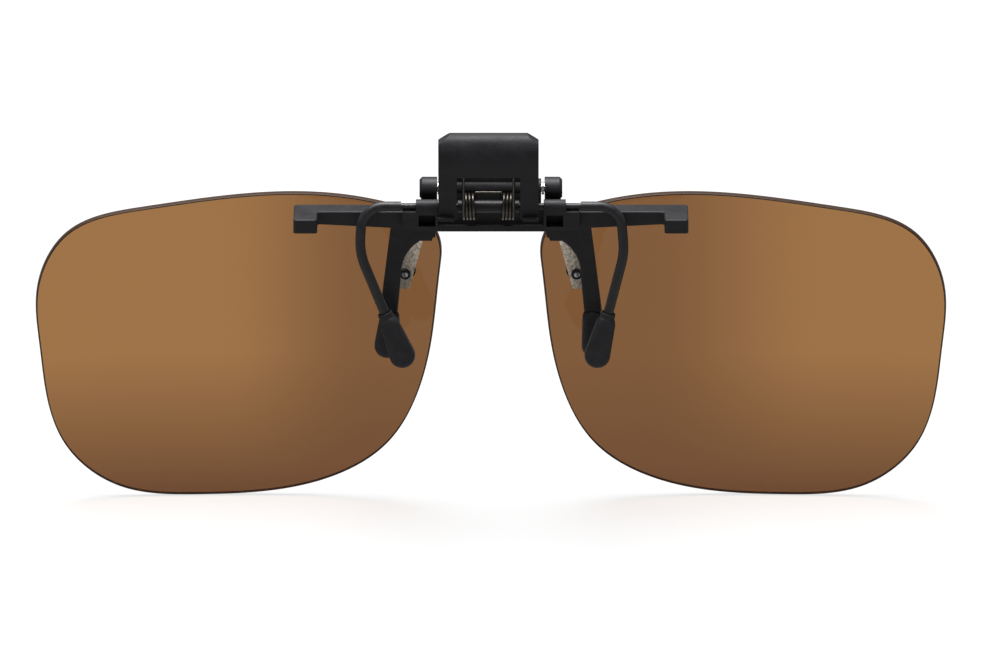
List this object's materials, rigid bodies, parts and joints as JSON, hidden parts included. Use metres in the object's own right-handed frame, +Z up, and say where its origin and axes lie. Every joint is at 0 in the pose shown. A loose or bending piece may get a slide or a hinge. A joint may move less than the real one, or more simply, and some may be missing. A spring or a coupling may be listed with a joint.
{
  "type": "clip-on flip-up sunglasses",
  "caption": "Rimless flip-up sunglasses that clip onto spectacles with a sprung thumb lever, rubber-tipped legs and a hinged lens bridge.",
  "frame": {"origin": "middle of the clamp's gap between front and rear pads, on the centre plane, level with the underside of the bar, which sits on the spectacle rim", "axes": "+X across the lenses, +Y away from the wearer, +Z up"},
  "size_m": [0.135, 0.0146, 0.0604],
  "materials": {
    "body_plastic": "fine moulded texture, satin black",
    "lever_plastic": "satin black moulding",
    "bridge_plastic": "satin black moulding",
    "pad_rubber": "soft matte rubber",
    "sleeve_vinyl": "smooth black sleeving",
    "wire_steel": "black oxide spring wire",
    "spring_steel": "dark spring steel",
    "pin_steel": "ground steel",
    "tab_steel": "brushed stainless steel",
    "screw_steel": "turned steel",
    "nut_black": "black plated",
    "washer_plastic": "black nylon",
    "bush_plastic": "black acetal",
    "lens_brown": "brown polarised resin, polished"
  },
  "bodies": {
    "clamp": {"clamp_body": "body_plastic", "front_pad_left": "pad_rubber", "front_pad_right": "pad_rubber", "flip_pin": "pin_steel", "spring_washers": "pin_steel"},
    "thumb_clamp": {"thumb_lever": "lever_plastic", "rear_wire": "wire_steel", "wire_sleeve_left": "sleeve_vinyl", "wire_sleeve_right": "sleeve_vinyl", "rear_pad_left": "pad_rubber", "rear_pad_right": "pad_rubber", "spring_bush": "bush_plastic", "torsion_spring": "spring_steel"},
    "lens_carrier": {"flip_bridge": "bridge_plastic", "lens_tab_left": "tab_steel", "lens_tab_right": "tab_steel", "tab_rivets": "screw_steel", "lens_left": "lens_brown", "lens_right": "lens_brown", "lens_screws": "screw_steel", "lens_nuts": "nut_black", "lens_washers": "washer_plastic"}
  },
  "joints": [
    {"name": "clamp_squeeze", "type": "hinge", "parent": "clamp", "child": "thumb_clamp", "pos_m": [0, -0.0003, 0.00345], "axis": [-1, 0, 0], "range_deg": [0, 32], "stiffness_Nm_per_rad": 0.05, "springref_deg": -34.38, "deforming": ["torsion_spring"]},
    {"name": "lens_flip", "type": "hinge", "parent": "clamp", "child": "lens_carrier", "pos_m": [0, 0.0034, 0.005], "axis": [1, 0, 0], "range_deg": [0, 95]}
  ]
}
